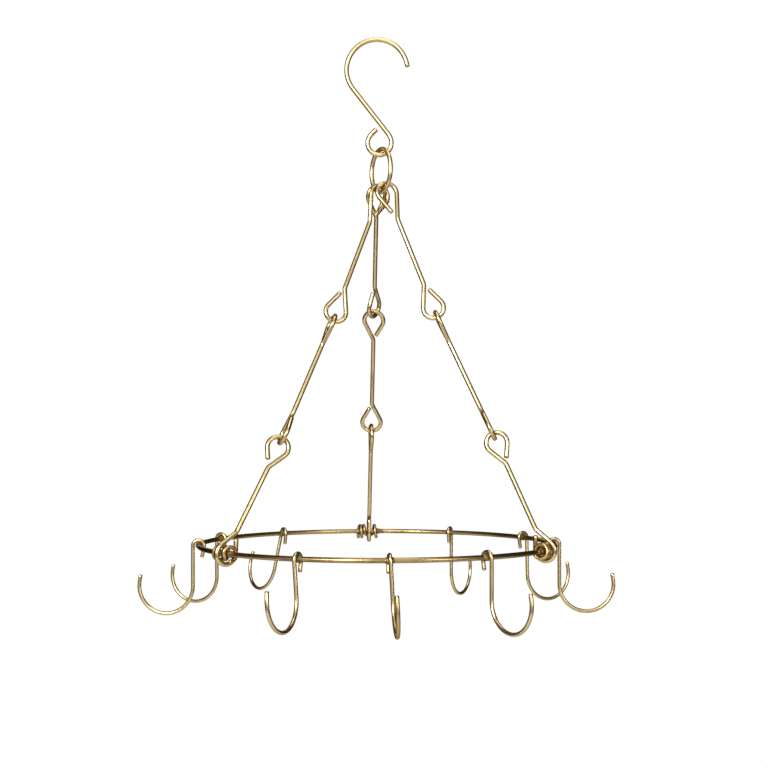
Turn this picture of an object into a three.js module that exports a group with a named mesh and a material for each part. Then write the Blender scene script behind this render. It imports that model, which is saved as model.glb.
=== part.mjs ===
// A hanging wire utensil rack: a hoop with nine open hooks, held by three legs of
// three double-eyed links each, an oval link and a large S-shaped hanger hook.
// Millimetres, +Z up. The origin is the inside of the hanger hook's bow, where the
// rack hangs on whatever holds it. The hoop's front faces -Y.
import * as THREE from 'three';
import { mergeVertices } from 'three/addons/utils/BufferGeometryUtils.js';

// ---- driving dimensions -------------------------------------------------------
const clearance = 0.5; // between two wires that bear on each other
const bentClearance = 0.65; // where both of them are tightly bent

// hanger hook: a round bow, a straight back and a closed eye
const hangerWire = 3.0;
const bowRadius = 19.7; // centre line
const bowTipAngle = 12; // above the horizontal, on the right
const hangerEyeRadius = 7.7; // centre line
const hangerEyeDrop = 47.2; // bow centre down to eye centre
const hangerEyeShift = 1.6; // eye centre to the right of the bow centre
const hangerEaseRadius = 9.4; // the bend that leads from the back into the eye
const hangerEyeEnd = 135; // where the eye's arc ends, from its right-hand side
const hangerEyeTail = 5.0; // straight end that closes the eye against the back
const hangerTipFlat = 2.0; // straight end of the bow

// oval link
const ovalWire = 2.9;
const ovalHeight = 27.6; // centre line to centre line
const ovalWidth = 23.2;
const ovalTurn = -58; // its plane, turned from the hanger hook's plane
const ovalShift = 1.0; // it rests this far to the right of the hanger eye's centre

// chain links, all bent from one wire with a teardrop eye at each end
const linkWire = 2.9;
const eyeRadius = 6.5; // centre line
const eyeNeck = 14.0; // eye centre to the kink where the shaft starts
const crownNeck = 19.0; // the same, in the front legs' eyes on the oval link
const kneeNeck = 16.5; // and in the front legs' eyes at their first joints
const kinkRadius = 5.0;

// hoop
const hoopRadius = 114.0; // centre line
const hoopWire = 3.1;

// utensil hooks, bent over the hoop with a short cut tail inside it
const hookWire = 2.4;
const hookSlack = 0.6; // the shank stands this much further from the hoop than the tail
const hookBowlRadius = 17.5; // centre line
const hookCurl = 10; // degrees that the bowl runs on past level
const hookTip = 4; // straight end of the bowl
const hookTail = 7.6; // cut end below the hoop's centre line
const hookTailShift = 0.8; // along the hoop
const hookTailLean = 10; // degrees back towards the shank

// bindings that keep each leg's lowest eye in its place on the hoop
const bindingWire = 2.3;
const bindingLoopRadius = 4.2; // centre line of the loose turns
const bindingPitch = 2.6;
const turnsBefore = 2.0;
const turnsAfter = 0.9;
const crossingHalfAngle = 62; // half of the stretch that runs through the eye

// total length of a leg, from the oval link to the hoop
const legLength = 254.4;

// stations round the hoop: degrees from the front, positive to the right. The eyes'
// planes are turned about the leg: 0 is the upright plane through the hoop's centre.
// bow is how far the two inner joints stand outside the straight line down the leg.
const legs = [
  {
    name: 'left',
    station: -51.2,
    ovalSlot: 0,
    upper: 92.0,
    middle: 86.0,
    bow: [-4.4, -4.4],
    winding: 1,
    turns: { upper: [-4, -26], middle: [66, 68], lower: [-28, 0] },
    sides: { upper: [1, -1], middle: [1, -1], lower: [-1, 1] },
    tailGaps: { upper: [0.9, 0.4], middle: [0.9, 0.9], lower: [1.8, 0.9] },
    necks: { upper: [crownNeck, kneeNeck], middle: [eyeNeck, eyeNeck], lower: [eyeNeck, eyeNeck] },
  },
  {
    name: 'right',
    station: 64.0,
    ovalSlot: 1,
    upper: 90.0,
    middle: 85.5,
    bow: [-3.0, -0.6],
    winding: 1,
    turns: { upper: [44, 20], middle: [112, 110], lower: [18, -8] },
    sides: { upper: [1, -1], middle: [-1, 1], lower: [-1, 1] },
    tailGaps: { upper: [0.9, 0.8], middle: [0.9, 0.9], lower: [0.4, 0.9] },
    necks: { upper: [crownNeck, kneeNeck], middle: [eyeNeck, eyeNeck], lower: [eyeNeck, eyeNeck] },
  },
  {
    name: 'back',
    station: 183.3,
    ovalSlot: -1,
    upper: 84.5,
    middle: 86.0,
    bow: [0, 0],
    winding: -1,
    turns: { upper: [118, 146], middle: [78, 86], lower: [2, 0] },
    sides: { upper: [1, -1], middle: [1, -1], lower: [1, 1] },
    tailGaps: { upper: [0.9, 0.8], middle: [0.6, 0.4], lower: [0.9, 0.9] },
    necks: { upper: [eyeNeck, eyeNeck], middle: [eyeNeck, eyeNeck], lower: [eyeNeck, eyeNeck] },
  },
];
const ovalSlotGap = 2.25; // between two legs' eyes along the oval link's foot

// The hooks, round the hoop from its front. All are bent to one pattern, and one that is
// bent off it says how: lean along the hoop, tilt outward and turn of the bowl about the
// shank, in degrees, or a longer or shorter shank.
const hookPattern = { shank: 26, lean: 0, tilt: 0, turn: 0 };
const hooks = [
  { station: 4, tailSide: -1, shank: 22, lean: 3 },
  { station: 34, tailSide: -1, shank: 24 },
  { station: 90, tailSide: -1 },
  { station: 119, tailSide: -1, lean: -2 },
  { station: 153, tailSide: -1, shank: 29 },
  { station: 216, tailSide: 1, lean: 10, tilt: 5 },
  { station: 248, tailSide: 1 },
  { station: 276, tailSide: 1, turn: -12 },
  { station: 337, tailSide: 1, shank: 21, lean: 4 },
];

// fineness of the faceted wires
const wireSides = 8;
const bindingSides = 6;
const bendStep = 22; // degrees of bend for each facet
const bowlStep = 15;
const wrapStep = 36;
const archStep = 22.5;

const brass = { color: 0xb8904f, roughness: 0.36, metalness: 1.0 };

// ---- places worked out from the dimensions --------------------------------------
const rad = THREE.MathUtils.degToRad;
const up = new THREE.Vector3(0, 0, 1);
const across = new THREE.Vector3(1, 0, 0);

const bowCentre = new THREE.Vector3(0, 0, hangerWire / 2 - bowRadius);
const hangerEye = new THREE.Vector3(hangerEyeShift, 0, bowCentre.z - hangerEyeDrop);
const ovalBearing = (hangerWire + ovalWire) / 2 + bentClearance;
const ovalSeat = hangerEye.z - Math.sqrt(hangerEyeRadius ** 2 - ovalShift ** 2);
const ovalTop = ovalSeat + ovalBearing;
const ovalCentre = new THREE.Vector3(hangerEye.x + ovalShift, 0, ovalTop - ovalHeight / 2);
const ovalAcross = across.clone().applyAxisAngle(up, rad(ovalTurn));
const eyeBearing = linkWire + clearance; // centre lines of two linked eyes
const ovalSlotPitch = linkWire + ovalSlotGap;
const ovalFoot = ovalCentre.z - ovalHeight / 2;
const hoopLevel = ovalFoot - Math.sqrt(legLength ** 2 - hoopRadius ** 2);
const hoopCentre = new THREE.Vector3(0, 0, hoopLevel);

// direction from the hoop's centre out to a station
function outward(degrees) {
  return new THREE.Vector3(Math.sin(rad(degrees)), -Math.cos(rad(degrees)), 0);
}

// direction along the hoop at a station, towards higher angles
function alongHoop(degrees) {
  return new THREE.Vector3(Math.cos(rad(degrees)), Math.sin(rad(degrees)), 0);
}

// ---- bent wire -------------------------------------------------------------------
// The centre line of a bent wire: stations with a point and a direction each. The
// sweep takes one step from each station to the next.
class BentWire extends THREE.Curve {
  constructor() {
    super();
    this.points = [];
    this.directions = [];
  }

  add(point, direction) {
    this.points.push(point.clone());
    this.directions.push(direction.clone().normalize());
    return this;
  }

  get steps() {
    return this.points.length - 1;
  }

  getPointAt(share, target = new THREE.Vector3()) {
    return target.copy(this.points[Math.round(share * this.steps)]);
  }

  getTangentAt(share, target = new THREE.Vector3()) {
    return target.copy(this.directions[Math.round(share * this.steps)]);
  }

  getPoint(share, target) {
    return this.getPointAt(share, target);
  }
}

// a regular polygon standing for the wire's round section
function wireSection(diameter, sides) {
  const corners = [];
  for (let i = 0; i < sides; i += 1) {
    const angle = (2 * Math.PI * (i + 0.5)) / sides;
    corners.push(new THREE.Vector2(Math.cos(angle), Math.sin(angle)).multiplyScalar(diameter / 2));
  }
  return new THREE.Shape(corners);
}

function sweep(wire, diameter, sides = wireSides) {
  const options = { steps: wire.steps, extrudePath: wire, bevelEnabled: false };
  return new THREE.ExtrudeGeometry(wireSection(diameter, sides), options);
}

// points of a plane outline, each with its direction, for arcs and straights
function arcPoints(centre, radius, from, to, step) {
  const count = Math.max(1, Math.round(Math.abs(to - from) / step));
  const turning = Math.sign(to - from);
  const list = [];
  for (let i = 0; i <= count; i += 1) {
    const angle = rad(from + ((to - from) * i) / count);
    const arm = new THREE.Vector2(Math.cos(angle), Math.sin(angle));
    const direction = new THREE.Vector2(-arm.y, arm.x).multiplyScalar(turning);
    list.push({ point: arm.multiplyScalar(radius).add(centre), direction });
  }
  return list;
}

// a straight run on from a point of an outline, or back from it where length is negative
function straightEnd({ point, direction }, length) {
  const end = point.clone().addScaledVector(direction, length);
  return { point: end, direction: direction.clone() };
}

// ---- hanger hook -------------------------------------------------------------------
// The plane outline, from the bow's open tip to the end that closes the eye.
function hangerOutline() {
  const bow = new THREE.Vector2(0, 0);
  const eye = new THREE.Vector2(hangerEyeShift, -hangerEyeDrop);
  const ease = eye.clone();
  ease.x += hangerEyeRadius - hangerEaseRadius;
  // the straight back touches the bow on its left and the easing bend on its right
  const reach = bow.distanceTo(ease);
  const tilt = Math.asin((bowRadius + hangerEaseRadius) / reach);
  const line = Math.atan2(ease.y - bow.y, ease.x - bow.x) + tilt;
  const leaving = THREE.MathUtils.radToDeg(line) + 270;
  const bowArc = arcPoints(bow, bowRadius, bowTipAngle, leaving, bowlStep);
  const easeArc = arcPoints(ease, hangerEaseRadius, leaving - 180, 0, bendStep / 2);
  const eyeArc = arcPoints(eye, hangerEyeRadius, 0, hangerEyeEnd - 360, bendStep);
  return [
    straightEnd(bowArc[0], -hangerTipFlat),
    ...bowArc,
    ...easeArc,
    ...eyeArc.slice(1),
    straightEnd(eyeArc[eyeArc.length - 1], hangerEyeTail),
  ];
}

function hangerHook() {
  const wire = new BentWire();
  for (const { point, direction } of hangerOutline()) {
    const place = new THREE.Vector3(point.x, 0, point.y).add(bowCentre);
    wire.add(place, new THREE.Vector3(direction.x, 0, direction.y));
  }
  return sweep(wire, hangerWire);
}

// ---- oval link -----------------------------------------------------------------------
// a point of the oval's centre line, by its angle from the foot
function ovalPoint(angle) {
  const side = (Math.sin(angle) * ovalWidth) / 2;
  const height = (-Math.cos(angle) * ovalHeight) / 2;
  return ovalCentre.clone().addScaledVector(ovalAcross, side).addScaledVector(up, height);
}

class OvalCurve extends THREE.Curve {
  getPoint(share, target = new THREE.Vector3()) {
    return target.copy(ovalPoint(share * 2 * Math.PI));
  }
}

function ovalLink() {
  const steps = 36;
  return new THREE.TubeGeometry(new OvalCurve(), steps, ovalWire / 2, wireSides, true);
}

// ---- chain links -------------------------------------------------------------------
// One eye as a plane outline, from its cut tail to the shaft. x is sideways towards
// the side that the shaft bends to, y runs from the eye's centre to the shaft.
function eyeOutline(tailGap, neck) {
  const lean = Math.asin(eyeRadius / neck);
  const leanDegrees = THREE.MathUtils.radToDeg(lean);
  const tangent = neck * Math.cos(lean);
  const halfWire = linkWire / 2;
  const spare = (halfWire * (1 + Math.cos(2 * lean)) + tailGap) / Math.sin(2 * lean);
  const tailDirection = new THREE.Vector2(Math.sin(lean), Math.cos(lean));
  const tailFoot = new THREE.Vector2(-Math.cos(lean), Math.sin(lean)).multiplyScalar(eyeRadius);
  const tailEnd = tailFoot.clone().addScaledVector(tailDirection, tangent - spare);
  const centre = new THREE.Vector2(0, 0);
  const ring = arcPoints(centre, eyeRadius, 180 - leanDegrees, 360 + leanDegrees, bendStep);
  const kinkTop = neck + kinkRadius * Math.tan(lean / 2);
  const kinkCentre = new THREE.Vector2(kinkRadius, kinkTop);
  const kink = arcPoints(kinkCentre, kinkRadius, 180 + leanDegrees, 180, bendStep / 2);
  const tail = { point: tailEnd, direction: tailDirection.clone().negate() };
  return [tail, ...ring, ...kink];
}

// Places an eye: towardsShaft and sideways are unit vectors in the eye's plane.
function placeEye(outline, centre, sideways, towardsShaft) {
  return outline.map(({ point, direction }) => ({
    point: centre.clone().addScaledVector(sideways, point.x).addScaledVector(towardsShaft, point.y),
    direction: new THREE.Vector3()
      .addScaledVector(sideways, direction.x)
      .addScaledVector(towardsShaft, direction.y),
  }));
}

// Sideways direction of an eye whose plane is turned about the leg.
function eyeSideways(leg, down, turn, side) {
  const inPlane = outward(leg.station);
  inPlane.addScaledVector(down, -inPlane.dot(down)).normalize();
  const sideways = inPlane.applyAxisAngle(down, -rad(turn));
  return sideways.multiplyScalar(side);
}

function chainLink(leg, part, topCentre, footCentre) {
  const down = footCentre.clone().sub(topCentre).normalize();
  const [topTurn, footTurn] = leg.turns[part];
  const [topSide, footSide] = leg.sides[part];
  const [topGap, footGap] = leg.tailGaps[part];
  const [topNeck, footNeck] = leg.necks[part];
  const topSideways = eyeSideways(leg, down, topTurn, topSide);
  const footSideways = eyeSideways(leg, down, footTurn, footSide);
  const top = placeEye(eyeOutline(topGap, topNeck), topCentre, topSideways, down);
  const upwards = down.clone().negate();
  const foot = placeEye(eyeOutline(footGap, footNeck), footCentre, footSideways, upwards);
  const wire = new BentWire();
  for (const { point, direction } of top) {
    wire.add(point, direction);
  }
  for (const { point, direction } of foot.reverse()) {
    wire.add(point, direction.negate());
  }
  return sweep(wire, linkWire);
}

// The joints of a leg, from the oval link's foot to the middle of the hoop's wire.
function legJoints(leg) {
  const slot = Math.asin((2 * leg.ovalSlot * ovalSlotPitch) / ovalWidth);
  const hangsOn = ovalPoint(slot);
  const station = hoopCentre.clone().addScaledVector(outward(leg.station), hoopRadius);
  const down = station.clone().sub(hangsOn).normalize();
  const aside = outward(leg.station);
  aside.addScaledVector(down, -aside.dot(down)).normalize();
  const joint = (distance, bow) =>
    hangsOn.clone().addScaledVector(down, distance).addScaledVector(aside, bow);
  const first = joint(leg.upper, leg.bow[0]);
  const second = joint(leg.upper + leg.middle, leg.bow[1]);
  return [hangsOn, first, second, station];
}

// The eye centres of a leg's three links. Each link runs straight from joint to joint;
// the lowest link takes up what the others leave.
function legPlaces(leg) {
  const joints = legJoints(leg);
  const innerReach = eyeRadius - eyeBearing / 2;
  const ovalGrip = eyeRadius - (ovalWire + linkWire) / 2 - clearance;
  const hoopGrip = (hoopWire + linkWire) / 2 + bindingWire + 2 * clearance - eyeRadius;
  const link = (k, headReach, footReach) => {
    const down = joints[k + 1].clone().sub(joints[k]).normalize();
    const head = joints[k].clone().addScaledVector(down, headReach);
    return [head, joints[k + 1].clone().addScaledVector(down, footReach)];
  };
  return {
    upper: link(0, ovalGrip, -innerReach),
    middle: link(1, innerReach, -innerReach),
    lower: link(2, innerReach, hoopGrip),
  };
}

// ---- hoop and what is wound on it ------------------------------------------------------
// A place beside the hoop: along it from a station, outside its centre line, above it.
function besideHoop(station, along, outside, above) {
  const angle = station + THREE.MathUtils.radToDeg(along / hoopRadius);
  const place = outward(angle).multiplyScalar(hoopRadius + outside);
  return place.add(hoopCentre).addScaledVector(up, above);
}

function hoop() {
  const segments = 72;
  const geometry = new THREE.TorusGeometry(hoopRadius, hoopWire / 2, wireSides, segments);
  geometry.translate(hoopCentre.x, hoopCentre.y, hoopCentre.z);
  return geometry;
}

// Adds stations to a wire and takes each one's direction from its neighbours.
function wireThrough(places) {
  const wire = new BentWire();
  places.forEach((place, i) => {
    const before = places[Math.max(0, i - 1)];
    const after = places[Math.min(places.length - 1, i + 1)];
    wire.add(place, after.clone().sub(before));
  });
  return wire;
}

// One utensil hook's bowl, from its tip to the foot of the shank.
function hookBowl(hook, foot, shank) {
  const out = outward(hook.station).applyAxisAngle(up, rad(hook.turn));
  out.addScaledVector(shank, -out.dot(shank)).normalize();
  const centre = foot.clone().addScaledVector(out, hookBowlRadius);
  const origin = new THREE.Vector2(0, 0);
  const outline = arcPoints(origin, hookBowlRadius, hookCurl, -180, bowlStep);
  outline.unshift(straightEnd(outline[0], -hookTip));
  return outline.map(({ point }) =>
    centre.clone().addScaledVector(out, point.x).addScaledVector(shank, -point.y),
  );
}

// One utensil hook: tip, bowl and shank, over the hoop and down to the cut tail.
function utensilHook(hook) {
  const snug = (hoopWire + hookWire) / 2 + clearance;
  const shank = up.clone().negate();
  shank.addScaledVector(alongHoop(hook.station), Math.tan(rad(hook.lean)));
  shank.addScaledVector(outward(hook.station), Math.tan(rad(hook.tilt))).normalize();
  const standOff = snug + hookSlack;
  const shift = hookTailShift * hook.tailSide;
  const head = besideHoop(hook.station, 0, standOff, 0);
  const foot = head.clone().addScaledVector(shank, hook.shank);
  const places = hookBowl(hook, foot, shank);
  const halfSpan = (standOff + snug) / 2;
  for (let turn = 0; turn <= 180; turn += archStep) {
    const outside = hookSlack / 2 + halfSpan * Math.cos(rad(turn));
    const along = (shift * turn) / 180;
    places.push(besideHoop(hook.station, along, outside, snug * Math.sin(rad(turn))));
  }
  const tailFoot = hookTail * Math.tan(rad(hookTailLean)) - snug;
  places.push(besideHoop(hook.station, shift, tailFoot, -hookTail));
  return sweep(wireThrough(places), hookWire);
}

// A binding: loose turns round the hoop on both sides of a leg's lowest eye, joined
// by a stretch that runs snugly under the hoop through the eye.
function binding(leg) {
  const snug = (hoopWire + bindingWire) / 2 + clearance;
  const halfCrossing = (linkWire + bindingWire) / 2 + clearance;
  const under = 270;
  const easeAngle = 70;
  const start = -(crossingHalfAngle + 360 * turnsBefore);
  const end = crossingHalfAngle + 360 * turnsAfter;
  const count = Math.round((end - start) / wrapStep);
  const places = [];
  for (let i = 0; i <= count; i += 1) {
    const turn = start + ((end - start) * i) / count;
    const beyond = Math.max(0, Math.abs(turn) - crossingHalfAngle);
    const inside = Math.min(1, Math.abs(turn) / crossingHalfAngle);
    const along = Math.sign(turn) * (halfCrossing * inside + (bindingPitch * beyond) / 360);
    const ease = THREE.MathUtils.smoothstep(beyond, 0, easeAngle);
    const radius = snug + (bindingLoopRadius - snug) * ease;
    const angle = rad(under + turn);
    const outside = radius * Math.cos(angle);
    const above = radius * Math.sin(angle);
    places.push(besideHoop(leg.station, along * leg.winding, outside, above));
  }
  return sweep(wireThrough(places), bindingWire, bindingSides);
}

// ---- assembly ------------------------------------------------------------------------
function piece(name, geometry) {
  geometry.deleteAttribute('uv');
  geometry.deleteAttribute('normal');
  const closed = mergeVertices(geometry, 1e-3);
  closed.computeVertexNormals();
  const mesh = new THREE.Mesh(closed, new THREE.MeshStandardMaterial(brass));
  mesh.name = name;
  return mesh;
}

const rack = new THREE.Group();
rack.add(piece('hanger_hook', hangerHook()));
rack.add(piece('oval_link', ovalLink()));
for (const leg of legs) {
  const places = legPlaces(leg);
  for (const [part, [top, foot]] of Object.entries(places)) {
    rack.add(piece(`${leg.name}_${part}_link`, chainLink(leg, part, top, foot)));
  }
  rack.add(piece(`${leg.name}_binding`, binding(leg)));
}
rack.add(piece('hoop', hoop()));
hooks.forEach((hook, i) => {
  rack.add(piece(`utensil_hook_${i + 1}`, utensilHook({ ...hookPattern, ...hook })));
});

export default rack;
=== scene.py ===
"""Looks for a hanging wire utensil rack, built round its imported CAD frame.

Every wire of the rack is swept again as smooth round stock along the centre line that its
solid follows, with filed cut ends, brazed fillets where the hooks and bindings sit on the
hoop, and a rubbed antique brass finish that browns wherever two wires bear on each other.
All sizes are in metres, +Z is up, and the origin is the inside of the hanger hook's bow.
"""

from __future__ import annotations

import logging
import math
from dataclasses import dataclass, field
from enum import Enum

import bpy
import numpy as np
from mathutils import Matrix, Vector, noise
from mathutils.kdtree import KDTree


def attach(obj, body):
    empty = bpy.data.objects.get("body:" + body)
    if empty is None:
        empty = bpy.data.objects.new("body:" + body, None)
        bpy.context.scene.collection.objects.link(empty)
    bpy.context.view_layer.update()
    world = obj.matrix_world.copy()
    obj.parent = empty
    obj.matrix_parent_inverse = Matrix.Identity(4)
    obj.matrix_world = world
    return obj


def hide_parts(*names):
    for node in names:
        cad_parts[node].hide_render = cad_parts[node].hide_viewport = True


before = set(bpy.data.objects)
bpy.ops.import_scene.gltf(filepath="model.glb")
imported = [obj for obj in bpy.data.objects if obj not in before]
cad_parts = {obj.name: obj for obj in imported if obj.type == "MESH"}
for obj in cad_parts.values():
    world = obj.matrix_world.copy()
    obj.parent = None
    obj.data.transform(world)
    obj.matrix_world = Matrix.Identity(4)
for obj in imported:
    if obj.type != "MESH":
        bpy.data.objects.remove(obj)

LOG = logging.getLogger("rack")
MM = 0.001
UP = np.array((0.0, 0.0, 1.0))
ACROSS = np.array((1.0, 0.0, 0.0))


# ---- plain geometry ---------------------------------------------------------------------
def unit(vector: np.ndarray) -> np.ndarray:
    """The vector at length one."""
    return vector / np.linalg.norm(vector)


def outward(station: float) -> np.ndarray:
    """Direction from the hoop's centre out to a station.

    Args:
        station: degrees round the hoop from its front, positive to the right.

    Returns:
        A unit vector in the hoop's plane.
    """
    angle = math.radians(station)
    return np.array((math.sin(angle), -math.cos(angle), 0.0))


def turned(vector: np.ndarray, axis: np.ndarray, angle: float) -> np.ndarray:
    """A vector turned about an axis.

    Args:
        vector: what is turned.
        axis: unit vector to turn about.
        angle: radians, right-handed.

    Returns:
        The turned vector.
    """
    along = axis * np.dot(axis, vector)
    return along + (vector - along) * math.cos(angle) + np.cross(axis, vector) * math.sin(angle)


def arc(
    centre: tuple[float, float], radius: float, start: float, end: float, step: float = 4.0
) -> np.ndarray:
    """Points along an arc of a plane outline.

    Args:
        centre: the arc's centre in the plane.
        radius: its radius.
        start: first angle in degrees.
        end: last angle in degrees.
        step: degrees between points, at most.

    Returns:
        An array of plane points, one row each.
    """
    count = max(2, math.ceil(abs(end - start) / step) + 1)
    angles = np.radians(np.linspace(start, end, count))
    return np.stack((centre[0] + radius * np.cos(angles), centre[1] + radius * np.sin(angles)), 1)


def evenly(line: np.ndarray, spacing: float, closed: bool = False) -> np.ndarray:
    """A line's points moved to even spaces along it.

    Args:
        line: points of an open or closed line, one row each.
        spacing: wanted distance between neighbours.
        closed: whether the last point runs on to the first.

    Returns:
        The new points. A closed line doesn't repeat its first point.
    """
    points = np.vstack((line, line[:1])) if closed else line
    lengths = np.linalg.norm(np.diff(points, axis=0), axis=1)
    keep = np.concatenate(([True], lengths > 1e-9))
    points = points[keep]
    at = np.concatenate(([0.0], np.cumsum(lengths[lengths > 1e-9])))
    count = max(3, round(at[-1] / spacing))
    wanted = np.linspace(0.0, at[-1], count + 1)
    if closed:
        wanted = wanted[:-1]
    return np.stack([np.interp(wanted, at, points[:, k]) for k in range(3)], 1)


def smoothstep(low: float, high: float, value: float) -> float:
    """The value eased from 0 at low to 1 at high."""
    share = min(1.0, max(0.0, (value - low) / (high - low)))
    return share * share * (3.0 - 2.0 * share)


# ---- finishes -------------------------------------------------------------------------------
@dataclass(frozen=True)
class BrassFinish:
    """Antique brass: rubbed bright where it is handled, browned in the bends and joints."""

    name: str
    bright: tuple[float, float, float]
    aged: tuple[float, float, float]
    rosy: tuple[float, float, float]
    tarnish: tuple[float, float, float]
    edge: tuple[float, float, float]
    roughness: tuple[float, float] = (0.22, 0.34)
    draw_marks: float = 0.20
    hammering: float = 0.16

    def material(self) -> bpy.types.Material:
        """The finish as a node material, made once.

        Returns:
            The material of this name.
        """
        made = bpy.data.materials.get(self.name)
        if made:
            return made
        made = bpy.data.materials.new(self.name)
        made.use_nodes = True
        self._dress(NodeBench(made.node_tree))
        return made

    def _dress(self, bench: NodeBench) -> None:
        """Lays out the nodes: patches of age, drawing marks, pits and joint tarnish."""
        place = bench.add("ShaderNodeTexCoord").outputs["Object"]
        stock = bench.add("ShaderNodeUVMap", uv_map="stock").outputs["UV"]
        crevice = bench.add("ShaderNodeAttribute", attribute_name="crevice").outputs["Fac"]
        rubbed = bench.add("ShaderNodeAttribute", attribute_name="rubbed").outputs["Fac"]

        patches = bench.noise(place, scale=42.0, detail=5.0, rough=0.62)
        blush = bench.noise(place, scale=90.0, detail=3.0, rough=0.5)
        freckles = bench.noise(place, scale=620.0, detail=4.0, rough=0.6)
        marks = bench.noise(bench.stretched(stock, (90.0, 2200.0, 1.0)), scale=1.0, detail=2.0)

        age = bench.ramp(patches, 0.40, 0.68)
        worn_age = bench.sum(age, bench.scaled(rubbed, -0.55), bench.scaled(freckles, 0.10))
        colour = bench.mix(worn_age, self.bright, self.aged)
        colour = bench.mix(bench.scaled(bench.ramp(blush, 0.50, 0.78), 0.45), colour, self.rosy)
        streaks = bench.scaled(bench.ramp(marks, 0.52, 0.80), 0.18)
        colour = bench.mix(streaks, colour, self.aged)
        browned = bench.product(crevice, bench.ramp(freckles, 0.18, 0.62))
        colour = bench.mix(bench.scaled(browned, 0.92), colour, self.tarnish)

        smooth, dull = self.roughness
        sheen = bench.sum(
            bench.scaled(age, dull - smooth), bench.scaled(marks, 0.10), bench.scaled(browned, 0.25)
        )
        roughness = bench.shifted(sheen, smooth - 0.05)
        metal = bench.shifted(bench.scaled(browned, -0.30), 1.0)

        height = bench.bump(marks, self.draw_marks, 0.012 * MM)
        height = bench.bump(blush, self.hammering, 0.10 * MM, below=height)

        shader = bench.add("ShaderNodeBsdfPrincipled")
        shader.inputs["Specular Tint"].default_value = (*self.edge, 1.0)
        shader.inputs["Coat Weight"].default_value = 0.10
        shader.inputs["Coat Roughness"].default_value = 0.20
        bench.join(colour, shader.inputs["Base Color"])
        bench.join(roughness, shader.inputs["Roughness"])
        bench.join(metal, shader.inputs["Metallic"])
        bench.join(height, shader.inputs["Normal"])
        bench.join(shader.outputs["BSDF"], bench.add("ShaderNodeOutputMaterial").inputs["Surface"])


class NodeBench:
    """Short ways to lay shader nodes out in a tree."""

    def __init__(self, tree: bpy.types.NodeTree) -> None:
        """Empties the tree.

        Args:
            tree: the node tree to work in.
        """
        self.tree = tree
        tree.nodes.clear()

    def add(self, kind: str, **settings: object) -> bpy.types.Node:
        """A new node.

        Args:
            kind: the node's type.
            settings: properties to set on it.

        Returns:
            The node.
        """
        node = self.tree.nodes.new(kind)
        for key, value in settings.items():
            setattr(node, key, value)
        return node

    def join(self, source: object, socket: bpy.types.NodeSocket) -> None:
        """Links an output, or sets a plain number or colour, on a socket."""
        if isinstance(source, bpy.types.NodeSocket):
            self.tree.links.new(source, socket)
        elif isinstance(source, tuple):
            socket.default_value = (*source, 1.0)
        else:
            socket.default_value = source

    def noise(
        self, place: bpy.types.NodeSocket, scale: float, detail: float, rough: float = 0.55
    ) -> bpy.types.NodeSocket:
        """A noise pattern.

        Args:
            place: where the pattern is read.
            scale: cells per unit of place.
            detail: octaves of finer noise.
            rough: strength of the finer octaves.

        Returns:
            The pattern, about 0 to 1.
        """
        node = self.add("ShaderNodeTexNoise")
        self.join(place, node.inputs["Vector"])
        self.join(scale, node.inputs["Scale"])
        self.join(detail, node.inputs["Detail"])
        self.join(rough, node.inputs["Roughness"])
        return node.outputs["Fac"]

    def stretched(
        self, place: bpy.types.NodeSocket, scale: tuple[float, float, float]
    ) -> bpy.types.NodeSocket:
        """The place scaled by another amount each way."""
        node = self.add("ShaderNodeMapping")
        self.join(place, node.inputs["Vector"])
        node.inputs["Scale"].default_value = scale
        return node.outputs["Vector"]

    def ramp(self, value: bpy.types.NodeSocket, low: float, high: float) -> bpy.types.NodeSocket:
        """The value spread smoothly so that low becomes 0 and high becomes 1."""
        node = self.add("ShaderNodeMapRange", interpolation_type="SMOOTHSTEP", clamp=True)
        self.join(value, node.inputs["Value"])
        self.join(low, node.inputs["From Min"])
        self.join(high, node.inputs["From Max"])
        return node.outputs["Result"]

    def _math(self, operation: str, first: object, second: object) -> bpy.types.NodeSocket:
        """One Math node on two values."""
        node = self.add("ShaderNodeMath", operation=operation)
        self.join(first, node.inputs[0])
        self.join(second, node.inputs[1])
        return node.outputs["Value"]

    def scaled(self, value: bpy.types.NodeSocket, by: float) -> bpy.types.NodeSocket:
        """The value times a number."""
        return self._math("MULTIPLY", value, by)

    def shifted(self, value: bpy.types.NodeSocket, by: float) -> bpy.types.NodeSocket:
        """The value plus a number."""
        return self._math("ADD", value, by)

    def product(
        self, first: bpy.types.NodeSocket, second: bpy.types.NodeSocket
    ) -> bpy.types.NodeSocket:
        """Two patterns multiplied."""
        return self._math("MULTIPLY", first, second)

    def sum(self, *values: bpy.types.NodeSocket) -> bpy.types.NodeSocket:
        """Patterns added up."""
        total = values[0]
        for value in values[1:]:
            total = self._math("ADD", total, value)
        return total

    def mix(self, share: object, first: object, second: object) -> bpy.types.NodeSocket:
        """A colour between two colours.

        Args:
            share: 0 for the first colour, 1 for the second.
            first: colour or output.
            second: colour or output.

        Returns:
            The mixed colour.
        """
        node = self.add("ShaderNodeMix", data_type="RGBA", clamp_factor=True)
        self.join(share, node.inputs[0])
        self.join(first, node.inputs[6])
        self.join(second, node.inputs[7])
        return node.outputs[2]

    def bump(
        self,
        height: bpy.types.NodeSocket,
        strength: float,
        distance: float,
        below: bpy.types.NodeSocket | None = None,
    ) -> bpy.types.NodeSocket:
        """A bumped normal.

        Args:
            height: the pattern that stands up.
            strength: share of the bump that shows.
            distance: height of the pattern at 1.
            below: a normal that is already bumped.

        Returns:
            The normal.
        """
        node = self.add("ShaderNodeBump")
        self.join(height, node.inputs["Height"])
        self.join(strength, node.inputs["Strength"])
        self.join(distance, node.inputs["Distance"])
        if below is not None:
            self.join(below, node.inputs["Normal"])
        return node.outputs["Normal"]


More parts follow.
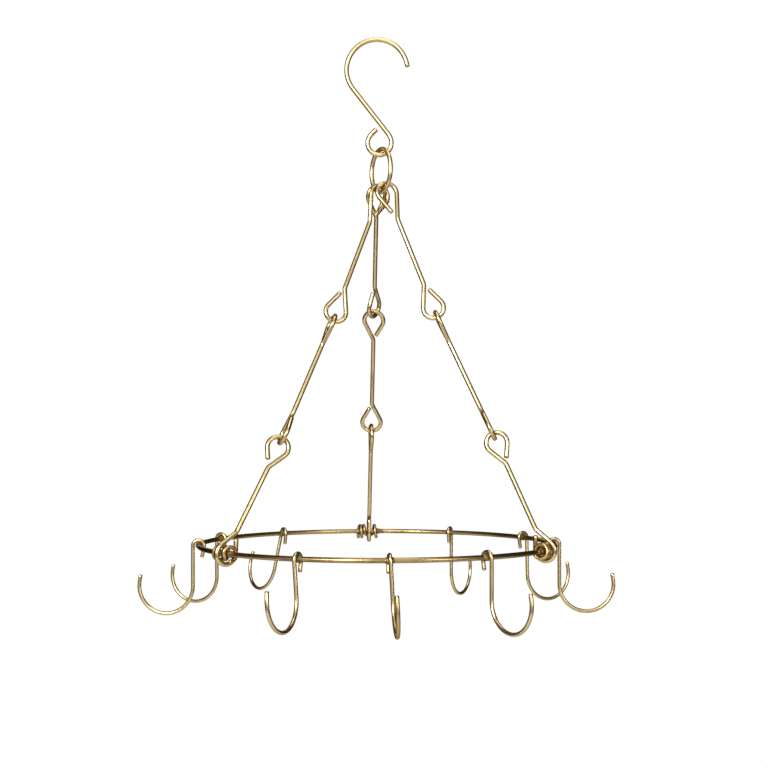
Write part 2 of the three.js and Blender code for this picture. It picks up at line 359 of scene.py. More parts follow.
class Tone(Enum):
    """The rack's tones of brass, from the handled hanger to the joints."""

    WIRE = BrassFinish(
        name="antique_brass_wire",
        bright=(0.74, 0.57, 0.285),
        aged=(0.47, 0.335, 0.15),
        rosy=(0.60, 0.41, 0.24),
        tarnish=(0.085, 0.048, 0.022),
        edge=(0.50, 0.40, 0.28),
    )
    HANDLED = BrassFinish(
        name="handled_brass_wire",
        bright=(0.78, 0.60, 0.30),
        aged=(0.58, 0.43, 0.20),
        rosy=(0.68, 0.49, 0.28),
        tarnish=(0.085, 0.048, 0.022),
        edge=(0.62, 0.52, 0.38),
        roughness=(0.30, 0.42),
    )
    # Painted shade, partly also ageing: a darker copy of the wire's brass that makes the whole hoop
    # read darker, standing in for the shade that the lamps don't give it.
    SHADED_AND_AGED = BrassFinish(
        name="shaded_and_aged_hoop_brass",
        bright=(0.50, 0.36, 0.165),
        aged=(0.23, 0.15, 0.060),
        rosy=(0.36, 0.22, 0.12),
        tarnish=(0.060, 0.034, 0.016),
        edge=(0.26, 0.20, 0.13),
    )
    BINDING = BrassFinish(
        name="heat_browned_binding_wire",
        bright=(0.60, 0.41, 0.17),
        aged=(0.34, 0.20, 0.08),
        rosy=(0.52, 0.29, 0.16),
        tarnish=(0.060, 0.034, 0.017),
        edge=(0.45, 0.35, 0.25),
        roughness=(0.30, 0.50),
    )
    BRAZE = BrassFinish(
        name="brazed_fillet",
        bright=(0.66, 0.47, 0.21),
        aged=(0.38, 0.25, 0.11),
        rosy=(0.60, 0.38, 0.22),
        tarnish=(0.075, 0.045, 0.023),
        edge=(0.45, 0.35, 0.25),
        roughness=(0.32, 0.52),
        draw_marks=0.0,
        hammering=0.7,
    )

    @property
    def slot(self) -> str:
        """The record's material slot for this tone."""
        joined = self in (Tone.BINDING, Tone.BRAZE)
        return "brass_binding" if joined else "brass_wire"


# ---- wires --------------------------------------------------------------------------------
@dataclass
class Wire:
    """A length of round wire swept along its centre line."""

    name: str
    body: str
    line: np.ndarray
    diameter: float
    nodes: tuple[str, ...] = ()
    tone: Tone = Tone.WIRE
    closed: bool = False
    spacing: float = 0.8 * MM
    sides: int = 18
    filed: float = 0.3 * MM
    swell: np.ndarray | None = None
    lumps: float = 0.0
    points: np.ndarray = field(init=False)

    def __post_init__(self) -> None:
        """Spaces the centre line's points evenly."""
        self.points = evenly(self.line, self.spacing, self.closed)

    def directions(self) -> np.ndarray:
        """The centre line's direction at each of its points."""
        if self.closed:
            steps = np.roll(self.points, -1, 0) - np.roll(self.points, 1, 0)
        else:
            steps = np.gradient(self.points, axis=0)
        return steps / np.linalg.norm(steps, axis=1, keepdims=True)

    def _sections(self) -> tuple[np.ndarray, np.ndarray]:
        """Two unit vectors across the wire at each point, carried along without twist."""
        directions = self.directions()
        helper = UP if abs(directions[0] @ UP) < 0.9 else ACROSS
        first = unit(np.cross(directions[0], helper))
        firsts = [first]
        for before, after in zip(directions[:-1], directions[1:]):
            axis = np.cross(before, after)
            sine = np.linalg.norm(axis)
            if sine > 1e-9:
                first = turned(first, axis / sine, math.atan2(sine, float(before @ after)))
            first = unit(first - after * (first @ after))
            firsts.append(first)
        firsts = np.array(firsts)
        return firsts, np.cross(directions, firsts)

    def _radii(self) -> np.ndarray:
        """The wire's radius at each point, with its filed ends."""
        radius = self.diameter / 2
        radii = np.full(len(self.points), radius) if self.swell is None else self._swollen()
        if not self.closed and self.swell is None:
            radii[[0, -1]] = radius - self.filed
        return radii

    def _swollen(self) -> np.ndarray:
        """The given radii, spread over the evenly spaced points."""
        old = np.linspace(0.0, 1.0, len(self.swell))
        return np.interp(np.linspace(0.0, 1.0, len(self.points)), old, self.swell)

    def _rings(self) -> tuple[np.ndarray, np.ndarray]:
        """Each ring's middle and radius, with a short filed chamfer at both ends."""
        radii = self._radii()
        points = self.points.copy()
        if self.closed or self.swell is not None:
            return points, radii
        for end, inner in ((0, 1), (-1, -2)):
            run = unit(points[inner] - points[end])
            points[inner] = points[end] + run * self.filed
        return points, radii

    def build(self) -> bpy.types.Object:
        """Makes the wire's mesh, dresses it and hangs it on its body.

        Returns:
            The new object.
        """
        middles, radii = self._rings()
        firsts, seconds = self._sections()
        count, sides = len(middles), self.sides
        angles = np.linspace(0.0, 2.0 * math.pi, sides, endpoint=False)
        round_ = (
            np.cos(angles)[None, :, None] * firsts[:, None, :]
            + np.sin(angles)[None, :, None] * seconds[:, None, :]
        )
        reach = radii[:, None] + self._lumpiness(middles, round_)
        vertices = (middles[:, None, :] + round_ * reach[:, :, None]).reshape(-1, 3)
        faces, corners = self._faces(count)
        mesh = bpy.data.meshes.new(self.name)
        mesh.from_pydata(vertices.tolist(), [], faces)
        self._lay_map(mesh, middles, corners)
        self._mark(mesh, middles, round_)
        mesh.shade_smooth()
        mesh.set_sharp_from_angle(angle=math.radians(50))
        mesh.materials.append(self.tone.value.material())
        made = bpy.data.objects.new(self.name, mesh)
        bpy.context.scene.collection.objects.link(made)
        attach(made, self.body)
        if self.nodes:
            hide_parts(*self.nodes)
        return made

    def _lumpiness(self, middles: np.ndarray, round_: np.ndarray) -> np.ndarray:
        """How far each section point stands off a true circle."""
        bumps = np.zeros(round_.shape[:2])
        if not self.lumps:
            return bumps
        for i, ring in enumerate(round_):
            for j, way in enumerate(ring):
                at = Vector(middles[i] * 420.0) + Vector(way) * 0.8
                bumps[i, j] = self.lumps * noise.noise(at)
        return bumps

    def _faces(self, count: int) -> tuple[list[list[int]], list[tuple[int, int]]]:
        """The quads between rings, and the two cut ends.

        Args:
            count: number of rings.

        Returns:
            The faces, and each quad corner's ring and side for the map.
        """
        sides = self.sides
        faces: list[list[int]] = []
        corners: list[tuple[int, int]] = []
        for i in range(count if self.closed else count - 1):
            after = (i + 1) % count
            for j in range(sides):
                k = (j + 1) % sides
                faces.append([i * sides + j, i * sides + k, after * sides + k, after * sides + j])
                corners += [(i, j), (i, j + 1), (i + 1, j + 1), (i + 1, j)]
        if not self.closed:
            last = (count - 1) * sides
            faces.append(list(range(sides))[::-1])
            faces.append([last + j for j in range(sides)])
            corners += [(0, j) for j in range(sides)][::-1]
            corners += [(count - 1, j) for j in range(sides)]
        return faces, corners

    def _lay_map(
        self, mesh: bpy.types.Mesh, middles: np.ndarray, corners: list[tuple[int, int]]
    ) -> None:
        """Lays a map in metres: along the wire one way, round it the other."""
        lengths = np.linalg.norm(np.diff(np.vstack((middles, middles[:1])), axis=0), axis=1)
        along = np.concatenate(([0.0], np.cumsum(lengths)))
        step = math.pi * self.diameter / self.sides
        flat = [value for ring, side in corners for value in (along[ring], side * step)]
        layer = mesh.uv_layers.new(name="stock")
        layer.uv.foreach_set("vector", flat)

    def _mark(self, mesh: bpy.types.Mesh, middles: np.ndarray, round_: np.ndarray) -> None:
        """Marks the outer sides of bends, which are rubbed bright, against the inner ones."""
        directions = self.directions()
        bend = np.gradient(directions, axis=0)
        lengths = np.linalg.norm(np.gradient(middles, axis=0), axis=1)
        bend /= np.maximum(lengths, 1e-6)[:, None]
        stretch = -np.einsum("nsk,nk->ns", round_, bend) * self.diameter / 2
        rubbed = np.clip(0.25 + 1.6 * stretch, 0.0, 1.0)
        layer = mesh.attributes.new("rubbed", "FLOAT", "POINT")
        layer.data.foreach_set("value", rubbed.astype(np.float32).ravel())


@dataclass
class JointTarnish:
    """Browning where wires bear on each other, by how near the next wire is."""

    near: float = 0.25 * MM
    far: float = 2.4 * MM
    skip: float = 9.0 * MM

    def spread(self, wires: list[tuple[Wire, bpy.types.Object]]) -> None:
        """Writes the crevice attribute on every wire's mesh.

        Args:
            wires: each wire with the object built from it.
        """
        owners = [(k, i) for k, (wire, _) in enumerate(wires) for i in range(len(wire.points))]
        tree = KDTree(len(owners))
        for index, (k, i) in enumerate(owners):
            tree.insert(wires[k][0].points[i], index)
        tree.balance()
        widest = max(wire.diameter for wire, _ in wires) / 2 + self.far
        for k, (wire, made) in enumerate(wires):
            values = np.zeros(len(made.data.vertices), np.float32)
            for v, vertex in enumerate(made.data.vertices):
                gap = self._gap(tree.find_range(vertex.co, widest), owners, wires, k, v)
                values[v] = 1.0 - smoothstep(self.near, self.far, gap)
            layer = made.data.attributes.new("crevice", "FLOAT", "POINT")
            layer.data.foreach_set("value", values)

    def _gap(
        self,
        found: list[tuple[Vector, int, float]],
        owners: list[tuple[int, int]],
        wires: list[tuple[Wire, bpy.types.Object]],
        own: int,
        vertex: int,
    ) -> float:
        """The distance from a vertex to the nearest other wire, or other turn of its own."""
        wire = wires[own][0]
        ring = vertex // wire.sides
        nearest = self.far
        for _, index, distance in found:
            k, i = owners[index]
            if k == own and (wire.swell is not None or self._same_turn(wire, ring, i)):
                continue
            if wires[k][0].swell is None:
                nearest = min(nearest, distance - wires[k][0].diameter / 2)
        return nearest

    def _same_turn(self, wire: Wire, ring: int, other: int) -> bool:
        """Whether two rings of one wire are too close along it to be two turns."""
        apart = abs(ring - other)
        if wire.closed:
            apart = min(apart, len(wire.points) - apart)
        return apart * wire.spacing < self.skip


# ---- the rack's parts ------------------------------------------------------------------------
@dataclass
class HangerHook:
    """The S-shaped hook that the rack hangs on: a round bow, a straight back, a closed eye."""

    wire: float = 3.0 * MM
    bow_radius: float = 19.7 * MM
    tip_angle: float = 12.0
    tip_flat: float = 2.0 * MM
    eye_radius: float = 7.7 * MM
    eye_drop: float = 47.2 * MM
    eye_shift: float = 1.6 * MM
    ease_radius: float = 9.4 * MM
    eye_end: float = 135.0
    eye_tail: float = 5.0 * MM

    @property
    def bow_level(self) -> float:
        """Height of the bow's centre."""
        return self.wire / 2 - self.bow_radius

    @property
    def eye(self) -> np.ndarray:
        """The closed eye's centre."""
        return np.array((self.eye_shift, 0.0, self.bow_level - self.eye_drop))

    def centre_line(self) -> np.ndarray:
        """The wire's centre line, from the bow's tip to the end that closes the eye."""
        ease_across = self.eye_shift + self.eye_radius - self.ease_radius
        reach = math.hypot(ease_across, self.eye_drop)
        tilt = math.asin((self.bow_radius + self.ease_radius) / reach)
        leaving = math.degrees(math.atan2(-self.eye_drop, ease_across) + tilt) + 270.0
        bow = arc((0.0, 0.0), self.bow_radius, self.tip_angle, leaving)
        ease = arc((ease_across, -self.eye_drop), self.ease_radius, leaving - 180.0, 0.0)
        eye = arc((self.eye_shift, -self.eye_drop), self.eye_radius, 0.0, self.eye_end - 360.0)
        tip, end = math.radians(self.tip_angle), math.radians(self.eye_end)
        flat_end = bow[0] + np.array((math.sin(tip), -math.cos(tip))) * self.tip_flat
        closing = eye[-1] + np.array((math.sin(end), -math.cos(end))) * self.eye_tail
        flat = np.vstack((flat_end, bow, ease, eye, closing))
        line = np.zeros((len(flat), 3))
        line[:, 0] = flat[:, 0]
        line[:, 2] = flat[:, 1] + self.bow_level
        return line

    def build(self) -> list[Wire]:
        """The hanger hook's one wire."""
        wire = Wire("bent_hanger_hook", "hanger_hook", self.centre_line(), self.wire)
        wire.tone = Tone.HANDLED
        wire.nodes = ("hanger_hook",)
        return [wire]


@dataclass
class OvalLink:
    """The closed oval ring between the hanger hook's eye and the three legs."""

    hanger: HangerHook
    wire: float = 2.9 * MM
    height: float = 27.6 * MM
    width: float = 23.2 * MM
    turn: float = -58.0
    shift: float = 1.0 * MM
    clearance: float = 0.65 * MM

    @property
    def centre(self) -> np.ndarray:
        """The oval's centre, hanging in the bottom of the hanger hook's eye."""
        eye = self.hanger.eye
        seat = eye[2] - math.sqrt(self.hanger.eye_radius**2 - self.shift**2)
        top = seat + (self.hanger.wire + self.wire) / 2 + self.clearance
        return np.array((eye[0] + self.shift, 0.0, top - self.height / 2))

    @property
    def foot(self) -> float:
        """Height of the centre line at the oval's foot."""
        return float(self.centre[2] - self.height / 2)

    def point(self, angle: float) -> np.ndarray:
        """A point of the centre line, by its angle from the foot in radians."""
        across = turned(ACROSS, UP, math.radians(self.turn))
        side = across * math.sin(angle) * self.width / 2
        return self.centre + side - UP * math.cos(angle) * self.height / 2

    def build(self) -> list[Wire]:
        """The oval's one closed wire."""
        angles = np.linspace(0.0, 2.0 * math.pi, 120, endpoint=False)
        line = np.array([self.point(angle) for angle in angles])
        wire = Wire("bent_oval_link", "oval_link", line, self.wire, closed=True)
        wire.tone = Tone.HANDLED
        wire.nodes = ("oval_link",)
        return [wire]


@dataclass
class Hoop:
    """The round hoop that carries the utensil hooks."""

    oval: OvalLink
    wire: float = 3.1 * MM
    radius: float = 114.0 * MM
    leg_length: float = 254.4 * MM

    @property
    def level(self) -> float:
        """Height of the hoop's centre line."""
        return self.oval.foot - math.sqrt(self.leg_length**2 - self.radius**2)

    def beside(self, station: float, along: float, outside: float, above: float) -> np.ndarray:
        """A place beside the hoop.

        Args:
            station: degrees round the hoop from its front.
            along: distance along the hoop from the station.
            outside: distance outside its centre line.
            above: height over its centre line.

        Returns:
            The place.
        """
        at = station + math.degrees(along / self.radius)
        return outward(at) * (self.radius + outside) + UP * (self.level + above)

    def build(self) -> list[Wire]:
        """The hoop's one closed wire."""
        line = np.array([self.beside(k, 0.0, 0.0, 0.0) for k in np.arange(0.0, 360.0, 1.5)])
        wire = Wire("round_hoop", "hoop", line, self.wire, closed=True, spacing=1.6 * MM)
        # The hoop gets the darker brass: painted shade, partly also its own ageing.
        wire.tone = Tone.SHADED_AND_AGED
        wire.nodes = ("hoop",)
        return [wire]


@dataclass
class EyeBend:
    """One teardrop eye at the end of a chain link."""

    turn: float
    side: int
    tail_gap: float
    neck: float
    wire: float = 2.9 * MM
    radius: float = 6.5 * MM
    kink: float = 5.0 * MM

    def outline(self) -> np.ndarray:
        """The eye in its own plane, from its cut tail to the shaft."""
        lean = math.asin(self.radius / self.neck)
        degrees = math.degrees(lean)
        tangent = self.neck * math.cos(lean)
        room = self.wire / 2 * (1.0 + math.cos(2.0 * lean)) + self.tail_gap
        spare = room / math.sin(2.0 * lean)
        foot = np.array((-math.cos(lean), math.sin(lean))) * self.radius
        tail = foot + np.array((math.sin(lean), math.cos(lean))) * (tangent - spare)
        ring = arc((0.0, 0.0), self.radius, 180.0 - degrees, 360.0 + degrees)
        top = self.neck + self.kink * math.tan(lean / 2)
        kink = arc((self.kink, top), self.kink, 180.0 + degrees, 180.0)
        return np.vstack((tail, ring, kink))

    def placed(
        self, centre: np.ndarray, run: np.ndarray, down: np.ndarray, station: float
    ) -> np.ndarray:
        """The eye's centre line in its place.

        Args:
            centre: the eye's centre.
            run: unit vector from the eye's centre to the shaft.
            down: unit vector down the link.
            station: the leg's place round the hoop.

        Returns:
            The centre line, from the cut tail to the shaft.
        """
        flat = outward(station)
        flat = unit(flat - down * (flat @ down))
        sideways = turned(flat, down, -math.radians(self.turn)) * self.side
        outline = self.outline()
        return centre + outline[:, :1] * sideways + outline[:, 1:] * run


@dataclass
class LegChain:
    """One leg: three double-eyed links from the oval link's foot to the hoop."""

    name: str
    station: float
    oval_slot: int
    upper: float
    middle: float
    bow: tuple[float, float]
    winding: int
    eyes: dict[str, tuple[EyeBend, EyeBend]]
    hoop: Hoop
    slot_pitch: float = 5.15 * MM
    clearance: float = 0.5 * MM
    binding_wire: float = 2.3 * MM

    @property
    def top(self) -> np.ndarray:
        """Where the leg hangs on the oval link."""
        oval = self.hoop.oval
        return oval.point(math.asin(2.0 * self.oval_slot * self.slot_pitch / oval.width))

    @property
    def foot(self) -> np.ndarray:
        """The middle of the hoop's wire at the leg's station."""
        return self.hoop.beside(self.station, 0.0, 0.0, 0.0)

    def joints(self) -> list[np.ndarray]:
        """Where the links bear on each other, from the oval link to the hoop."""
        down = unit(self.foot - self.top)
        aside = outward(self.station)
        aside = unit(aside - down * (aside @ down))
        first = self.top + down * self.upper + aside * self.bow[0]
        second = self.top + down * (self.upper + self.middle) + aside * self.bow[1]
        return [self.top, first, second, self.foot]

    def reaches(self) -> dict[str, tuple[float, float]]:
        """How far each link's two eye centres lie below the joints above and below it."""
        eye = self.eyes["upper"][0]
        inner = eye.radius - (eye.wire + self.clearance) / 2
        oval_grip = eye.radius - (self.hoop.oval.wire + eye.wire) / 2 - self.clearance
        stack = (self.hoop.wire + eye.wire) / 2 + self.binding_wire + 2.0 * self.clearance
        return {
            "upper": (oval_grip, -inner),
            "middle": (inner, -inner),
            "lower": (inner, stack - eye.radius),
        }

    def build(self) -> list[Wire]:
        """The leg's three links."""
        wires = []
        joints = self.joints()
        for k, (part, (high, low)) in enumerate(self.reaches().items()):
            down = unit(joints[k + 1] - joints[k])
            upper_eye, lower_eye = self.eyes[part]
            head = upper_eye.placed(joints[k] + down * high, down, down, self.station)
            tail = lower_eye.placed(joints[k + 1] + down * low, -down, down, self.station)
            line = np.vstack((head, tail[::-1]))
            node = f"{self.name}_{part}_link"
            wires.append(Wire(f"bent_{node}", node, line, upper_eye.wire, (node,)))
        return wires


@dataclass
class UtensilHook:
    """An open J-shaped hook, bent over the hoop and brazed to it."""

    number: int
    station: float
    tail_side: int
    hoop: Hoop
    shank: float = 26.0 * MM
    lean: float = 0.0
    tilt: float = 0.0
    turn: float = 0.0
    wire: float = 2.4 * MM
    slack: float = 0.6 * MM
    bowl: float = 17.5 * MM
    curl: float = 10.0
    tip: float = 4.0 * MM
    tail: float = 7.6 * MM
    tail_lean: float = 10.0
    tail_offset: float = 0.8 * MM
    clearance: float = 0.5 * MM

    @property
    def stand_off(self) -> float:
        """Distance of the shank outside the hoop's centre line."""
        return self.snug + self.slack

    @property
    def tail_shift(self) -> float:
        """Distance of the tail along the hoop from the shank."""
        return self.tail_offset * self.tail_side

    @property
    def snug(self) -> float:
        """Distance from the hoop's centre line to that of a wire bent round it."""
        return (self.hoop.wire + self.wire) / 2 + self.clearance

    def centre_line(self) -> np.ndarray:
        """From the tip round the bowl, up the shank, over the hoop and down the tail."""
        out = outward(self.station)
        along = np.cross(UP, out)
        lean = along * math.tan(math.radians(self.lean))
        down = unit(-UP + lean + out * math.tan(math.radians(self.tilt)))
        head = self.hoop.beside(self.station, 0.0, self.stand_off, 0.0)
        bowl = self._bowl(head + down * self.shank, down)
        return np.vstack((bowl, self._arch()))

    def _bowl(self, foot: np.ndarray, down: np.ndarray) -> np.ndarray:
        """The bowl's centre line, from its straight tip to the foot of the shank."""
        out = turned(outward(self.station), UP, math.radians(self.turn))
        out = unit(out - down * (out @ down))
        flat = arc((0.0, 0.0), self.bowl, self.curl, -180.0)
        curl = math.radians(self.curl)
        tip = flat[0] + np.array((-math.sin(curl), math.cos(curl))) * self.tip
        flat = np.vstack((tip, flat))
        return foot + out * self.bowl + flat[:, :1] * out - flat[:, 1:] * down

    def _arch(self) -> np.ndarray:
        """The bend over the hoop, and the cut tail inside it."""
        places = []
        half_span = (self.stand_off + self.snug) / 2
        for turn in np.linspace(0.0, 180.0, 25):
            angle = math.radians(turn)
            outside = (self.stand_off - self.snug) / 2 + half_span * math.cos(angle)
            shift = self.tail_shift * turn / 180.0
            above = self.snug * math.sin(angle)
            places.append(self.hoop.beside(self.station, shift, outside, above))
        foot = self.tail * math.tan(math.radians(self.tail_lean)) - self.snug
        places.append(self.hoop.beside(self.station, self.tail_shift, foot, -self.tail))
        return np.array(places)

    def build(self) -> list[Wire]:
        """The hook, and the brazed fillet that holds it on the hoop."""
        node = f"utensil_hook_{self.number}"
        wire = Wire(f"bent_{node}", "hoop", self.centre_line(), self.wire, (node,))
        low, high = sorted((0.0, self.tail_shift))
        reach = 0.9 * MM
        name = f"hook_fillet_{self.number}"
        fillet = BrazeFillet(name, self.hoop, self.station, low - reach, high + reach)
        return [wire, *fillet.build()]


@dataclass
class Binding:
    """Thin wire wound round the hoop on both sides of a leg's lowest eye."""

    leg: LegChain
    loop_radius: float = 4.2 * MM
    pitch: float = 2.6 * MM
    turns_before: float = 2.0
    turns_after: float = 0.9
    crossing: float = 62.0
    clearance: float = 0.5 * MM
    long_taper: float = 3.0 * MM

    @property
    def half_crossing(self) -> float:
        """Half of the stretch that runs through the eye."""
        eye = self.leg.eyes["lower"][1]
        return (eye.wire + self.leg.binding_wire) / 2 + self.clearance

    def centre_line(self) -> np.ndarray:
        """From the first loose turn, through the eye, to the end of the last turn."""
        hoop = self.leg.hoop
        snug = (hoop.wire + self.leg.binding_wire) / 2 + self.clearance
        start = -(self.crossing + 360.0 * self.turns_before)
        end = self.crossing + 360.0 * self.turns_after
        places = []
        for turn in np.arange(start, end + 1.0, 9.0):
            beyond = max(0.0, abs(turn) - self.crossing)
            inside = min(1.0, abs(turn) / self.crossing)
            reach = self.half_crossing * inside + self.pitch * beyond / 360.0
            radius = snug + (self.loop_radius - snug) * smoothstep(0.0, 70.0, beyond)
            angle = math.radians(270.0 + turn)
            along = math.copysign(reach, turn) * self.leg.winding
            across, above = radius * math.cos(angle), radius * math.sin(angle)
            places.append(hoop.beside(self.leg.station, along, across, above))
        return np.array(places)

    def build(self) -> list[Wire]:
        """The binding, and a brazed fillet on both sides of the eye."""
        name = self.leg.name
        wire = Wire(f"wound_{name}_binding", "hoop", self.centre_line(), self.leg.binding_wire)
        wire.nodes = (f"{name}_binding",)
        wire.tone = Tone.BINDING
        wires = [wire]
        for side, turns, word in (
            (-1, self.turns_before, "before"),
            (1, self.turns_after, "after"),
        ):
            near = self.half_crossing + 0.6 * MM
            far = self.half_crossing + self.pitch * turns
            tapers = (0.5 * MM, self.long_taper if side > 0 else 2.4 * MM)
            ends = (near, far)
            if side * self.leg.winding < 0:
                ends, tapers = (-far, -near), tapers[::-1]
            fillet = BrazeFillet(
                f"{name}_fillet_{word}", self.leg.hoop, self.leg.station, *ends, taper=tapers
            )
            wires += fillet.build()
        return wires


@dataclass
class BrazeFillet:
    """Brazing metal that has run along the hoop between the turns of a wrap."""

    name: str
    hoop: Hoop
    station: float
    low: float
    high: float
    crown: float = 2.15 * MM
    taper: tuple[float, float] = (2.2 * MM, 2.2 * MM)

    def build(self) -> list[Wire]:
        """A swollen sleeve round the hoop that thins out to nothing at both ends."""
        start, end = self.low - self.taper[0], self.high + self.taper[1]
        stops = np.linspace(start, end, 60)
        line = np.array([self.hoop.beside(self.station, s, 0.0, 0.0) for s in stops])
        skin = self.hoop.wire / 2 - 0.06 * MM
        swell = []
        for stop in stops:
            before = max(0.0, (self.low - stop) / self.taper[0])
            after = max(0.0, (stop - self.high) / self.taper[1])
            share = (1.0 - min(1.0, max(before, after))) ** 2
            swell.append(skin + (self.crown - skin) * share)
        wire = Wire(self.name, "hoop", line, self.hoop.wire, tone=Tone.BRAZE)
        wire.spacing = 0.35 * MM
        wire.points = evenly(line, wire.spacing)
        wire.swell = np.array(swell)
        wire.lumps = 0.12 * MM
        return [wire]


# ---- studio ---------------------------------------------------------------------------------
@dataclass(frozen=True)
class SoftBox:
    """One large soft light."""

    name: str
    place: tuple[float, float, float]
    size: float
    power: float
    colour: tuple[float, float, float] = (1.0, 1.0, 1.0)

    def build(self, target: Vector) -> bpy.types.Object:
        """Puts the light up, turned to the rack.

        Args:
            target: what the light points at.

        Returns:
            The light's object.
        """
        lamp = bpy.data.lights.new(self.name, "AREA")
        lamp.shape = "SQUARE"
        lamp.size = self.size
        lamp.energy = self.power
        lamp.color = self.colour
        made = bpy.data.objects.new(self.name, lamp)
        bpy.context.scene.collection.objects.link(made)
        made.location = self.place
        made.rotation_euler = (target - Vector(self.place)).to_track_quat("-Z", "Y").to_euler()
        made.visible_camera = False
        return made


@dataclass
class Studio:
    """A pale floor far below the hanging rack, soft lights, and the camera."""

    hoop: Hoop
    floor_level: float = -0.75
    floor_radius: float = 1.0
    camera_distance: float = 0.832
    camera_over_hoop: float = 0.0684
    camera_right: float = 0.0045
    lens: float = 60.33
    frame_rise: float = 0.0703
    lights: tuple[SoftBox, ...] = (
        SoftBox("key_soft_box", (-0.7, -1.6, 0.35), 0.7, 30.0, (1.0, 0.98, 0.95)),
        SoftBox("fill_soft_box", (1.1, -1.4, -0.1), 0.6, 5.0),
        SoftBox("top_soft_box", (0.1, -0.2, 1.1), 0.9, 6.0),
        SoftBox("back_soft_box", (-0.4, 1.6, 0.2), 0.6, 2.5),
    )

    def build(self) -> None:
        """Sets up everything round the rack."""
        bpy.context.scene.view_settings.view_transform = "Standard"
        self._camera()
        self._floor()
        self._surroundings()
        target = Vector((0.0, 0.0, self.hoop.level / 2))
        for light in self.lights:
            light.build(target)

    def _camera(self) -> None:
        """A level camera in front of the rack, a little above the hoop."""
        lens = bpy.data.cameras.new("camera")
        lens.sensor_width = 36.0
        lens.lens = self.lens
        lens.shift_y = self.frame_rise
        lens.clip_start = 0.01
        lens.clip_end = 50.0
        made = bpy.data.objects.new("camera", lens)
        bpy.context.scene.collection.objects.link(made)
        height = self.hoop.level + self.camera_over_hoop
        made.location = (self.camera_right, -self.camera_distance, height)
        made.rotation_euler = (math.radians(90.0), 0.0, 0.0)
        bpy.context.scene.camera = made

    def _floor(self) -> None:
        """A round pale floor."""
        count = 96
        angles = np.linspace(0.0, 2.0 * math.pi, count, endpoint=False)
        rim = [
            (self.floor_radius * math.cos(a), self.floor_radius * math.sin(a), self.floor_level)
            for a in angles
        ]
        mesh = bpy.data.meshes.new("pale_floor")
        mesh.from_pydata(rim, [], [list(range(count))])
        material = bpy.data.materials.new("pale_floor")
        material.use_nodes = True
        bench = NodeBench(material.node_tree)
        shader = bench.add("ShaderNodeBsdfPrincipled")
        place = bench.add("ShaderNodeTexCoord").outputs["Object"]
        grain = bench.noise(place, scale=6.0, detail=4.0)
        colour = bench.mix(grain, (0.84, 0.84, 0.83), (0.88, 0.88, 0.87))
        bench.join(colour, shader.inputs["Base Color"])
        bench.join(0.7, shader.inputs["Roughness"])
        bench.join(shader.outputs["BSDF"], bench.add("ShaderNodeOutputMaterial").inputs["Surface"])
        mesh.materials.append(material)
        floor = bpy.data.objects.new("pale_floor", mesh)
        bpy.context.scene.collection.objects.link(floor)

    def _surroundings(self) -> None:
        """A white backdrop all round, and a dimmer room for the brass to mirror."""
        world = bpy.data.worlds.new("studio")
        world.use_nodes = True
        bpy.context.scene.world = world
        bench = NodeBench(world.node_tree)
        way = bench.add("ShaderNodeTexCoord").outputs["Generated"]
        split = bench.add("ShaderNodeSeparateXYZ")
        bench.join(way, split.inputs["Vector"])
        ahead = bench.ramp(bench.scaled(split.outputs["Y"], -1.0), 0.15, 0.95)
        height = bench.ramp(split.outputs["Z"], -0.45, 0.35)
        lit = bench.product(ahead, bench.shifted(bench.scaled(height, 0.92), 0.08))
        room = bench.mix(lit, (0.045, 0.037, 0.030), (1.20, 1.18, 1.10))
        mirrored = bench.add("ShaderNodeBackground")
        bench.join(room, mirrored.inputs["Color"])
        seen = bench.add("ShaderNodeBackground")
        bench.join((1.0, 1.0, 1.0), seen.inputs["Color"])
        bench.join(1.0, seen.inputs["Strength"])
        choice = bench.add("ShaderNodeMixShader")
        rays = bench.add("ShaderNodeLightPath")
        bench.join(rays.outputs["Is Camera Ray"], choice.inputs[0])
        bench.join(mirrored.outputs["Background"], choice.inputs[1])
        bench.join(seen.outputs["Background"], choice.inputs[2])
        bench.join(choice.outputs["Shader"], bench.add("ShaderNodeOutputWorld").inputs["Surface"])


# ---- assembly -------------------------------------------------------------------------------
# Millimetres from an eye to the kink where its shaft begins.
EYE_NECK = 14.0
CROWN_NECK = 19.0
KNEE_NECK = 16.5


def leg_eyes(
    turns: dict[str, tuple[float, float]],
    sides: dict[str, tuple[int, int]],
    gaps: dict[str, tuple[float, float]],
    necks: tuple[float, float] = (EYE_NECK, EYE_NECK),
) -> dict[str, tuple[EyeBend, EyeBend]]:
    """The two eyes of each of a leg's links.

    Args:
        turns: degrees that each eye's plane is turned about the leg.
        sides: side that each shaft bends to.
        gaps: millimetres left between each cut tail and its shaft.
        necks: millimetres from eye to kink in the upper link; the others have EYE_NECK.

    Returns:
        The upper and the lower eye of each link.
    """
    plain = (EYE_NECK, EYE_NECK)
    long = {"upper": necks, "middle": plain, "lower": plain}
    return {
        part: tuple(
            EyeBend(turns[part][k], sides[part][k], gaps[part][k] * MM, long[part][k] * MM)
            for k in range(2)
        )
        for part in long
    }


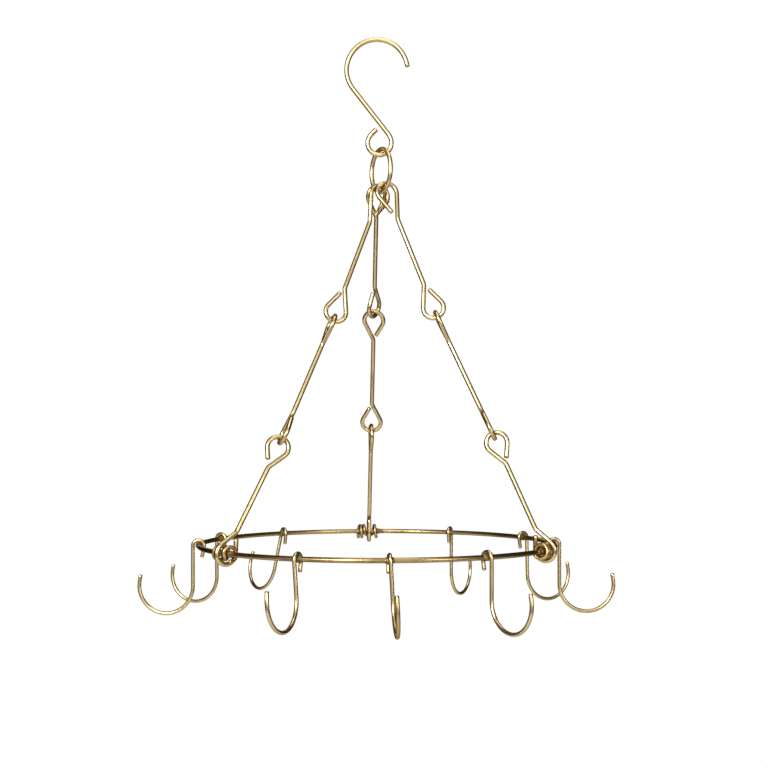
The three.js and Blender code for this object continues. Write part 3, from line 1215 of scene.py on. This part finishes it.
def legs_of(hoop: Hoop) -> list[LegChain]:
    """The rack's three legs, as they were bent."""
    left = leg_eyes(
        {"upper": (-4, -26), "middle": (66, 68), "lower": (-28, 0)},
        {"upper": (1, -1), "middle": (1, -1), "lower": (-1, 1)},
        {"upper": (0.9, 0.4), "middle": (0.9, 0.9), "lower": (1.8, 0.9)},
        necks=(CROWN_NECK, KNEE_NECK),
    )
    right = leg_eyes(
        {"upper": (44, 20), "middle": (112, 110), "lower": (18, -8)},
        {"upper": (1, -1), "middle": (-1, 1), "lower": (-1, 1)},
        {"upper": (0.9, 0.8), "middle": (0.9, 0.9), "lower": (0.4, 0.9)},
        necks=(CROWN_NECK, KNEE_NECK),
    )
    back = leg_eyes(
        {"upper": (118, 146), "middle": (78, 86), "lower": (2, 0)},
        {"upper": (1, -1), "middle": (1, -1), "lower": (1, 1)},
        {"upper": (0.9, 0.8), "middle": (0.6, 0.4), "lower": (0.9, 0.9)},
    )
    slack, flexed, straight = (-4.4 * MM, -4.4 * MM), (-3.0 * MM, -0.6 * MM), (0.0, 0.0)
    return [
        LegChain("left", -51.2, 0, 92.0 * MM, 86.0 * MM, slack, 1, left, hoop),
        LegChain("right", 64.0, 1, 90.0 * MM, 85.5 * MM, flexed, 1, right, hoop),
        LegChain("back", 183.3, -1, 84.5 * MM, 86.0 * MM, straight, -1, back, hoop),
    ]


def utensil_hooks_of(hoop: Hoop) -> list[UtensilHook]:
    """The nine utensil hooks, round the hoop from its front, bent to one pattern or off it."""
    return [
        UtensilHook(1, 4.0, -1, hoop, shank=22.0 * MM, lean=3.0),
        UtensilHook(2, 34.0, -1, hoop, shank=24.0 * MM),
        UtensilHook(3, 90.0, -1, hoop),
        UtensilHook(4, 119.0, -1, hoop, lean=-2.0),
        UtensilHook(5, 153.0, -1, hoop, shank=29.0 * MM),
        UtensilHook(6, 216.0, 1, hoop, lean=10.0, tilt=5.0),
        UtensilHook(7, 248.0, 1, hoop),
        UtensilHook(8, 276.0, 1, hoop, turn=-12.0),
        UtensilHook(9, 337.0, 1, hoop, shank=21.0 * MM, lean=4.0),
    ]


def main() -> None:
    """Builds the rack piece by piece, then the studio."""
    logging.basicConfig(level=logging.INFO, format="%(name)s: %(message)s")
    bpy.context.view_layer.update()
    hanger = HangerHook()
    oval = OvalLink(hanger)
    hoop = Hoop(oval)
    legs = legs_of(hoop)
    bindings = [
        Binding(leg, long_taper=(7.0 if leg.name == "back" else 3.0) * MM) for leg in legs
    ]
    made: list[tuple[Wire, bpy.types.Object]] = []
    for part in (hanger, oval, *legs, hoop, *utensil_hooks_of(hoop), *bindings):
        for wire in part.build():
            piece = wire.build()
            made.append((wire, piece))
            LOG.info("%s: %d faces, on %s", piece.name, len(piece.data.polygons), wire.body)
    JointTarnish().spread(made)
    Studio(hoop).build()


if __name__ == "__main__":
    main()
